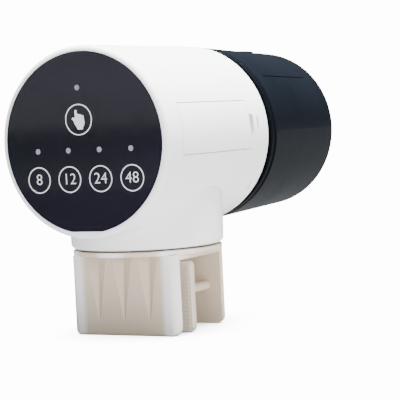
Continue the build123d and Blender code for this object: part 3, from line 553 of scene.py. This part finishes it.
# ---------------------------------------------------------------- printed panel
@dataclass
class PanelPrint:
    """Rings, numbers and the hand printed on the lens, and its five small windows."""

    ink_height: float = 0.03 * MM
    ring_line: float = 0.46 * MM
    key_ring_r: float = 5.25 * MM
    feed_ring_r: float = 6.15 * MM
    key_row_z: float = -14.3 * MM
    key_row_x: tuple[float, ...] = (-21.0 * MM, -6.8 * MM, 7.4 * MM, 21.6 * MM)
    feed_key_x: float = -1.3 * MM
    feed_key_z: float = 9.0 * MM
    led_row_z: float = -2.95 * MM
    power_led_z: float = 21.5 * MM
    numbers: tuple[str, ...] = ("8", "12", "24", "48")
    number_size: float = 6.2 * MM
    number_thinning: float = 0.05 * MM
    window_r: float = 1.1 * MM
    window_dish: float = 0.12 * MM
    centre: Vector = field(default_factory=Vector)

    def __post_init__(self) -> None:
        """Find the lens's centre and face from the frame."""
        low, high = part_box("front_panel")
        radius = (high.x - low.x) / 2
        self.centre = Vector(((low.x + high.x) / 2, low.y, high.z - radius))

    def at(self, x: float, z: float) -> Vector:
        """Point on the lens's face."""
        return self.centre + Vector((x, 0.0, z))

    def ring(self, place: Vector, radius: float) -> bpy.types.Object:
        """Flat printed ring.

        Args:
            place: its centre on the lens.
            radius: its outer radius.

        Returns:
            The ring, facing -Y.
        """
        deselect()
        bpy.ops.mesh.primitive_circle_add(vertices=96, radius=radius, fill_type="NGON",
                                          location=place, rotation=(math.pi / 2, 0.0, 0.0))
        piece = bpy.context.object
        bpy.ops.object.mode_set(mode="EDIT")
        bpy.ops.mesh.select_all(action="SELECT")
        bpy.ops.mesh.inset(thickness=self.ring_line)
        bpy.ops.mesh.delete(type="FACE")
        bpy.ops.mesh.select_all(action="SELECT")
        bpy.ops.mesh.extrude_region_move(
            TRANSFORM_OT_translate={"value": (0.0, -self.ink_height, 0.0)})
        bpy.ops.mesh.select_all(action="SELECT")
        bpy.ops.mesh.normals_make_consistent(inside=False)
        bpy.ops.object.mode_set(mode="OBJECT")
        return piece

    def number(self, text: str, place: Vector) -> bpy.types.Object:
        """Printed number, centred on a place."""
        deselect()
        bpy.ops.object.text_add(location=place, rotation=(math.pi / 2, 0.0, 0.0))
        piece = bpy.context.object
        piece.data.body = text
        piece.data.size = self.number_size
        piece.data.align_x = "CENTER"
        piece.data.align_y = "CENTER"
        piece.data.extrude = self.ink_height
        piece.data.offset = -self.number_thinning
        piece.data.resolution_u = 6
        return as_mesh(piece)

    def hand(self, place: Vector) -> bpy.types.Object:
        """Pointing hand: wrist, palm, raised finger, knuckles and thumb.

        Args:
            place: the middle of its key on the lens.

        Returns:
            The hand, a thin raised plate.
        """
        outline = [(-0.67, -3.9), (1.79, -3.9), (1.96, -3.02), (2.49, -2.2), (2.78, -1.27),
                   (2.55, -0.03), (2.43, 1.45), (1.9, 1.72), (1.3, 1.66), (0.97, 2.14),
                   (0.4, 1.98), (0.03, 2.3), (-0.5, 2.1), (-0.56, 3.45), (-0.85, 3.85),
                   (-1.45, 3.85), (-1.73, 3.45), (-1.6, 0.74), (-2.53, 0.95), (-3.2, 0.25),
                   (-2.36, -0.34), (-1.89, -1.68), (-0.95, -3.0)]
        deselect()
        bpy.ops.mesh.primitive_circle_add(vertices=len(outline), fill_type="NGON",
                                          location=place, rotation=(math.pi / 2, 0.0, 0.0))
        piece = bpy.context.object
        for vertex, (x, z) in zip(piece.data.vertices, outline):
            vertex.co = (x * MM, z * MM, 0.0)
        bpy.ops.object.transform_apply(location=True, rotation=True, scale=True)
        bpy.ops.object.mode_set(mode="EDIT")
        bpy.ops.mesh.select_all(action="SELECT")
        bpy.ops.mesh.bevel(offset=0.22 * MM, segments=3, affect="VERTICES")
        bpy.ops.mesh.select_all(action="SELECT")
        bpy.ops.mesh.extrude_region_move(
            TRANSFORM_OT_translate={"value": (0.0, -self.ink_height, 0.0)})
        bpy.ops.mesh.select_all(action="SELECT")
        bpy.ops.mesh.normals_make_consistent(inside=False)
        bpy.ops.object.mode_set(mode="OBJECT")
        return piece

    def window(self, place: Vector, radius: float, depth: float,
               dish: float) -> bpy.types.Object:
        """Round window with a dished face.

        Args:
            place: centre of its face on the lens.
            radius: its radius.
            depth: its length behind the lens's face.
            dish: how far its middle lies back.

        Returns:
            The window.
        """
        deselect()
        middle = place + Vector((0.0, depth / 2, 0.0))
        bpy.ops.mesh.primitive_cylinder_add(vertices=40, radius=radius, depth=depth,
                                            location=middle, rotation=(math.pi / 2, 0.0, 0.0))
        piece = bpy.context.object
        bpy.ops.object.transform_apply(location=True, rotation=True, scale=True)
        bpy.ops.object.mode_set(mode="EDIT")
        mesh = bmesh.from_edit_mesh(piece.data)
        pick_faces(mesh, Vector((0.0, -1.0, 0.0)))
        bmesh.update_edit_mesh(piece.data)
        bpy.ops.mesh.inset(thickness=radius * 0.12)
        bpy.ops.mesh.inset(thickness=radius * 0.2)
        bpy.ops.transform.translate(value=(0.0, dish, 0.0))
        bpy.ops.mesh.inset(thickness=radius * 0.3)
        bpy.ops.transform.translate(value=(0.0, dish * 0.4, 0.0))
        bpy.ops.object.mode_set(mode="OBJECT")
        bpy.ops.object.shade_smooth_by_angle(angle=math.radians(40.0))
        return piece

    def build(self) -> None:
        """Model the prints and windows, and put them on the housing."""
        face = -self.ink_height * 0.5
        rings = [self.ring(self.at(x, self.key_row_z), self.key_ring_r) for x in self.key_row_x]
        rings.append(self.ring(self.at(self.feed_key_x, self.feed_key_z), self.feed_ring_r))
        shift = Vector((0.0, face, 0.0))
        numbers = [self.number(text, self.at(x, self.key_row_z) + shift)
                   for text, x in zip(self.numbers, self.key_row_x)]
        pieces = [
            settle(joined(rings), "key_rings", Finish.INK),
            settle(joined(numbers), "key_numbers", Finish.INK),
            settle(self.hand(self.at(self.feed_key_x, self.feed_key_z)), "feed_hand",
                   Finish.INK),
        ]
        low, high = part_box("led_light_guides")
        leds = [self.at(self.feed_key_x, self.power_led_z)]
        leds += [self.at(x, self.led_row_z) for x in self.key_row_x]
        guides = [self.window(led, self.window_r, high.y - low.y, self.window_dish)
                  for led in leds]
        guide = settle(joined(guides), "led_windows", Finish.GUIDE)
        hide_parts("led_light_guides")
        centres = [self.window(led + Vector((0.0, self.window_dish * 0.9, 0.0)),
                               self.window_r * 0.42, 1.2 * MM, 0.05 * MM) for led in leds]
        pupils = settle(joined(centres), "led_centres", Finish.PUPIL)
        for piece in [*pieces, guide, pupils]:
            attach(piece, "housing")
            log.info("%s rides on the housing", piece.name)


# ---------------------------------------------------------------- clamp screw
@dataclass
class ClampScrew:
    """Coarse moulded clamp screw with a real helical thread."""

    core_r: float = 3.25 * MM
    pitch: float = 3.0 * MM
    steps: int = 40

    def build(self) -> None:
        """Model the bar, its tip groove and its thread."""
        low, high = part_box("clamp_screw")
        thread_r = (high.x - low.x) / 2
        middle = Vector(((low.x + high.x) / 2, 0.0, (low.z + high.z) / 2))
        bar = self.bar(low, high, middle)
        thread = self.thread(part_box("clamp_jaw")[1].y + 1.2 * MM,
                             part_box("clamp_knob")[0].y - 0.4 * MM, thread_r, middle)
        piece = settle(joined([bar, thread]), "clamp_screw_threaded", Finish.IVORY)
        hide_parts("clamp_screw")
        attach(piece, "screw")
        log.info("clamp screw with a thread of radius %.2f mm", thread_r / MM)

    def bar(self, low: Vector, high: Vector, middle: Vector) -> bpy.types.Object:
        """Core of the screw, with the groove for its clip near the tip."""
        deselect()
        length = high.y - low.y
        place = (middle.x, (low.y + high.y) / 2, middle.z)
        bpy.ops.mesh.primitive_cylinder_add(vertices=48, radius=3.0 * MM, depth=length,
                                            location=place, rotation=(math.pi / 2, 0.0, 0.0))
        piece = bpy.context.object
        bpy.ops.object.transform_apply(location=True, rotation=True, scale=True)
        clip_low, clip_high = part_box("tip_clip")
        for cut in (clip_low.y - 0.1 * MM, clip_high.y + 0.1 * MM,
                    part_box("clamp_jaw")[1].y + 0.3 * MM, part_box("clamp_knob")[0].y):
            bpy.ops.object.mode_set(mode="EDIT")
            bpy.ops.mesh.select_all(action="SELECT")
            bpy.ops.mesh.bisect(plane_co=(0.0, cut, 0.0), plane_no=(0.0, 1.0, 0.0))
            bpy.ops.object.mode_set(mode="OBJECT")
        self.fatten(piece, clip_low.y - 0.15 * MM, clip_high.y + 0.15 * MM, 2.1 * MM, middle)
        bpy.ops.object.shade_smooth_by_angle(angle=math.radians(40.0))
        return piece

    def fatten(self, piece: bpy.types.Object, start: float, end: float, radius: float,
               middle: Vector) -> None:
        """Set the radius of the bar's vertices between two places along Y."""
        for vertex in piece.data.vertices:
            if start < vertex.co.y < end:
                spoke = Vector((vertex.co.x - middle.x, 0.0, vertex.co.z - middle.z))
                spoke = spoke.normalized() * radius
                vertex.co.x = middle.x + spoke.x
                vertex.co.z = middle.z + spoke.z

    def thread(self, start: float, end: float, radius: float,
               middle: Vector) -> bpy.types.Object:
        """Helical ridge between two places along Y."""
        deselect()
        bpy.ops.mesh.primitive_plane_add(size=1.0, location=(0.0, 0.0, 0.0))
        piece = bpy.context.object
        half = self.pitch * 0.46
        crest = self.pitch * 0.12
        corners = [(2.6 * MM, -half), (radius, -crest), (radius, crest), (2.6 * MM, half)]
        for vertex, (r, y) in zip(piece.data.vertices, (corners[0], corners[1], corners[3],
                                                        corners[2])):
            vertex.co = (r, y, 0.0)
        turns = int((end - start - 2 * half) / self.pitch)
        screw = piece.modifiers.new("thread", "SCREW")
        screw.axis = "Y"
        screw.screw_offset = self.pitch
        screw.iterations = turns
        screw.steps = self.steps
        screw.render_steps = self.steps
        bpy.ops.object.modifier_apply(modifier="thread")
        piece.location = (middle.x, start + half, middle.z)
        bpy.ops.object.transform_apply(location=True, rotation=True, scale=True)
        bpy.ops.object.mode_set(mode="EDIT")
        bpy.ops.mesh.select_all(action="SELECT")
        bpy.ops.mesh.normals_make_consistent(inside=False)
        bpy.ops.object.mode_set(mode="OBJECT")
        return piece


# ---------------------------------------------------------------- frame pieces
@dataclass
class FramePieces:
    """Dresses the nodes of the frame that are shown as they are."""

    sleeve: Colour = (0.03, 0.16, 0.26)
    sleeve_band: Colour = (0.55, 0.56, 0.58)

    def build(self) -> None:
        """Give every node its finish."""
        for finish, names in NODE_FINISHES.items():
            for name in names:
                self.dress(name, finish.material())
        for name in ("aa_cell_outer", "aa_cell_inner"):
            low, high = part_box(name)
            turned = name.endswith("inner")
            start, end = (high.y, low.y) if turned else (low.y, high.y)
            sleeve = CellSleeve(f"{name}_sleeve", self.sleeve, self.sleeve_band, start, end)
            self.dress(name, sleeve.build())

    def dress(self, name: str, material: bpy.types.Material) -> None:
        """Put one material on a node."""
        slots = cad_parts[name].data.materials
        slots.clear()
        slots.append(material)
        log.info("%s is dressed in %s", name, material.name)


# ---------------------------------------------------------------- studio
@dataclass
class Studio:
    """Pale floor, soft lights, world and camera."""

    floor_size: float = 30.0
    lens: float = 141.03
    azimuth: float = 28.0
    elevation: float = 3.12
    roll: float = -2.9
    distance: float = 0.6339
    aim: Vector = field(default_factory=lambda: Vector((0.029244, -0.0429, 0.053689)))
    white: float = 14.0
    ambient: float = 0.36
    shadow: Colour = (0.010, 0.011, 0.014)
    shadow_reach: float = 0.035
    front_dim: float = 0.06
    far_dim: float = 0.34
    distant_dim: float = 0.12
    side_bright: float = 0.46
    side_zone: tuple[float, float] = (-0.6, 0.1)
    far_zone: tuple[float, float] = (-1.35, -1.15)
    distant_zone: tuple[float, float] = (-3.2, -1.8)
    shadow_range: tuple[float, float] = (0.15, 0.9)
    mirror_zone: tuple[float, float] = (-0.5, 0.3)
    mirror_front: float = 0.8
    mirror_back: float = 0.13

    def build(self) -> None:
        """Set up everything that isn't part of the feeder."""
        self.floor()
        self.world()
        self.light("key", (0.9, -0.5, 0.22), 0.4, 9.0)
        self.light("top", (0.1, 0.0, 0.95), 0.4, 100.0)
        self.camera()

    def floor(self) -> None:
        """Plain white floor with a soft contact shadow; mirror rays see it dimmer in front."""
        deselect()
        bpy.ops.mesh.primitive_plane_add(size=self.floor_size, location=(0.0, 0.0, 0.0))
        floor = bpy.context.object
        floor.name = "floor"
        graph = Graph("floor")
        graph.set(Roughness=0.9, Base_Color=(0.36, 0.36, 0.37, 1.0), Specular_IOR_Level=0.0)
        path = graph.add("ShaderNodeLightPath")
        shown = graph.add("ShaderNodeEmission")
        nearness = graph.add("ShaderNodeAmbientOcclusion", samples=16)
        nearness.inputs["Distance"].default_value = self.shadow_reach
        depth = graph.ranged(nearness.outputs["AO"], 0.0, 1.0, *self.shadow_range)
        graph.link(graph.blend(depth, self.shadow, (1.0, 1.0, 1.0)), shown.inputs["Color"])
        shown.inputs["Strength"].default_value = self.white
        mirrored = graph.add("ShaderNodeEmission")
        split = graph.add("ShaderNodeSeparateXYZ")
        graph.link(graph.place, split.inputs["Vector"])
        near = graph.ranged(split.outputs["Y"], self.front_dim, self.side_bright,
                            *self.side_zone)
        far = graph.ranged(split.outputs["Y"], self.far_dim - self.front_dim, 0.0,
                           *self.far_zone)
        distant = graph.ranged(split.outputs["Y"], self.distant_dim - self.far_dim, 0.0,
                               *self.distant_zone)
        first = graph.add("ShaderNodeMath", operation="ADD")
        graph.link(near, first.inputs[0])
        graph.link(far, first.inputs[1])
        total = graph.add("ShaderNodeMath", operation="ADD")
        graph.link(first.outputs[0], total.inputs[0])
        graph.link(distant, total.inputs[1])
        graph.link(total.outputs[0], mirrored.inputs["Strength"])
        mirrored.inputs["Color"].default_value = (0.9, 0.95, 1.0, 1.0)
        glossy = graph.add("ShaderNodeMixShader")
        graph.link(path.outputs["Is Glossy Ray"], glossy.inputs["Fac"])
        graph.link(graph.shader.outputs["BSDF"], glossy.inputs[1])
        graph.link(mirrored.outputs["Emission"], glossy.inputs[2])
        seen = graph.add("ShaderNodeMixShader")
        graph.link(path.outputs["Is Camera Ray"], seen.inputs["Fac"])
        graph.link(glossy.outputs["Shader"], seen.inputs[1])
        graph.link(shown.outputs["Emission"], seen.inputs[2])
        graph.link(seen.outputs["Shader"], graph.output.inputs["Surface"])
        floor.data.materials.append(graph.material)

    def world(self) -> None:
        """White background, with a dimmer surround for the light and for mirror rays."""
        world = bpy.data.worlds.new("studio")
        bpy.context.scene.world = world
        world.use_nodes = True
        nodes, links = world.node_tree.nodes, world.node_tree.links
        nodes.clear()
        out = nodes.new("ShaderNodeOutputWorld")
        mix = nodes.new("ShaderNodeMixShader")
        seen = nodes.new("ShaderNodeBackground")
        seen.inputs["Strength"].default_value = self.white
        around = nodes.new("ShaderNodeBackground")
        around.inputs["Strength"].default_value = self.ambient
        place = nodes.new("ShaderNodeTexCoord")
        split = nodes.new("ShaderNodeSeparateXYZ")
        ramp = nodes.new("ShaderNodeValToRGB")
        ramp.color_ramp.elements[0].position = 0.0
        ramp.color_ramp.elements[0].color = (0.55, 0.57, 0.62, 1.0)
        ramp.color_ramp.elements[1].position = 0.8
        ramp.color_ramp.elements[1].color = (0.95, 0.96, 1.0, 1.0)
        path = nodes.new("ShaderNodeLightPath")
        links.new(place.outputs["Generated"], split.inputs["Vector"])
        links.new(split.outputs["Z"], ramp.inputs["Fac"])
        links.new(ramp.outputs["Color"], around.inputs["Color"])
        seen.inputs["Color"].default_value = (1.0, 1.0, 1.0, 1.0)
        mirrored = nodes.new("ShaderNodeBackground")
        mirrored.inputs["Color"].default_value = (0.92, 0.95, 1.0, 1.0)
        front = nodes.new("ShaderNodeMapRange")
        for key, number in (("From Min", self.mirror_zone[0]),
                            ("From Max", self.mirror_zone[1]),
                            ("To Min", self.mirror_front), ("To Max", self.mirror_back)):
            front.inputs[key].default_value = number
        links.new(split.outputs["Y"], front.inputs["Value"])
        links.new(front.outputs["Result"], mirrored.inputs["Strength"])
        glossy = nodes.new("ShaderNodeMixShader")
        links.new(path.outputs["Is Glossy Ray"], glossy.inputs["Fac"])
        links.new(around.outputs["Background"], glossy.inputs[1])
        links.new(mirrored.outputs["Background"], glossy.inputs[2])
        links.new(path.outputs["Is Camera Ray"], mix.inputs["Fac"])
        links.new(glossy.outputs["Shader"], mix.inputs[1])
        links.new(seen.outputs["Background"], mix.inputs[2])
        links.new(mix.outputs["Shader"], out.inputs["Surface"])

    def light(self, name: str, place: tuple[float, float, float], size: float,
              power: float) -> None:
        """Square soft light that faces the feeder.

        Args:
            name: the light's name.
            place: where it hangs.
            size: its side.
            power: its power in watts.
        """
        deselect()
        bpy.ops.object.light_add(type="AREA", location=place)
        lamp = bpy.context.object
        lamp.name = name
        lamp.data.size = size
        lamp.data.energy = power
        lamp.visible_glossy = False
        way = self.aim - Vector(place)
        lamp.rotation_euler = way.to_track_quat("-Z", "Y").to_euler()

    def camera(self) -> None:
        """Camera at its azimuth, elevation and roll around the aim."""
        turn, rise = math.radians(self.azimuth), math.radians(self.elevation)
        ahead = Vector((-math.sin(turn) * math.cos(rise), math.cos(turn) * math.cos(rise),
                        -math.sin(rise)))
        right = Vector((math.cos(turn), math.sin(turn), 0.0))
        above = right.cross(ahead)
        lean = math.radians(self.roll)
        right = right * math.cos(lean) + above * math.sin(lean)
        above = right.cross(ahead)
        basis = Matrix((right, above, -ahead)).transposed().to_4x4()
        deselect()
        bpy.ops.object.camera_add()
        eye = bpy.context.object
        eye.matrix_world = Matrix.Translation(self.aim - ahead * self.distance) @ basis
        eye.data.lens = self.lens
        eye.data.sensor_width = 36.0
        eye.data.clip_start = 0.01
        eye.data.clip_end = 100.0
        bpy.context.scene.camera = eye


def main() -> None:
    """Build the feeder's looks and the studio, in order."""
    logging.basicConfig(level=logging.INFO, format="%(name)s: %(message)s")
    FramePieces().build()
    PanelPrint().build()
    ClampScrew().build()
    Studio().build()
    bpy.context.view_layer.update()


if __name__ == "__main__":
    main()
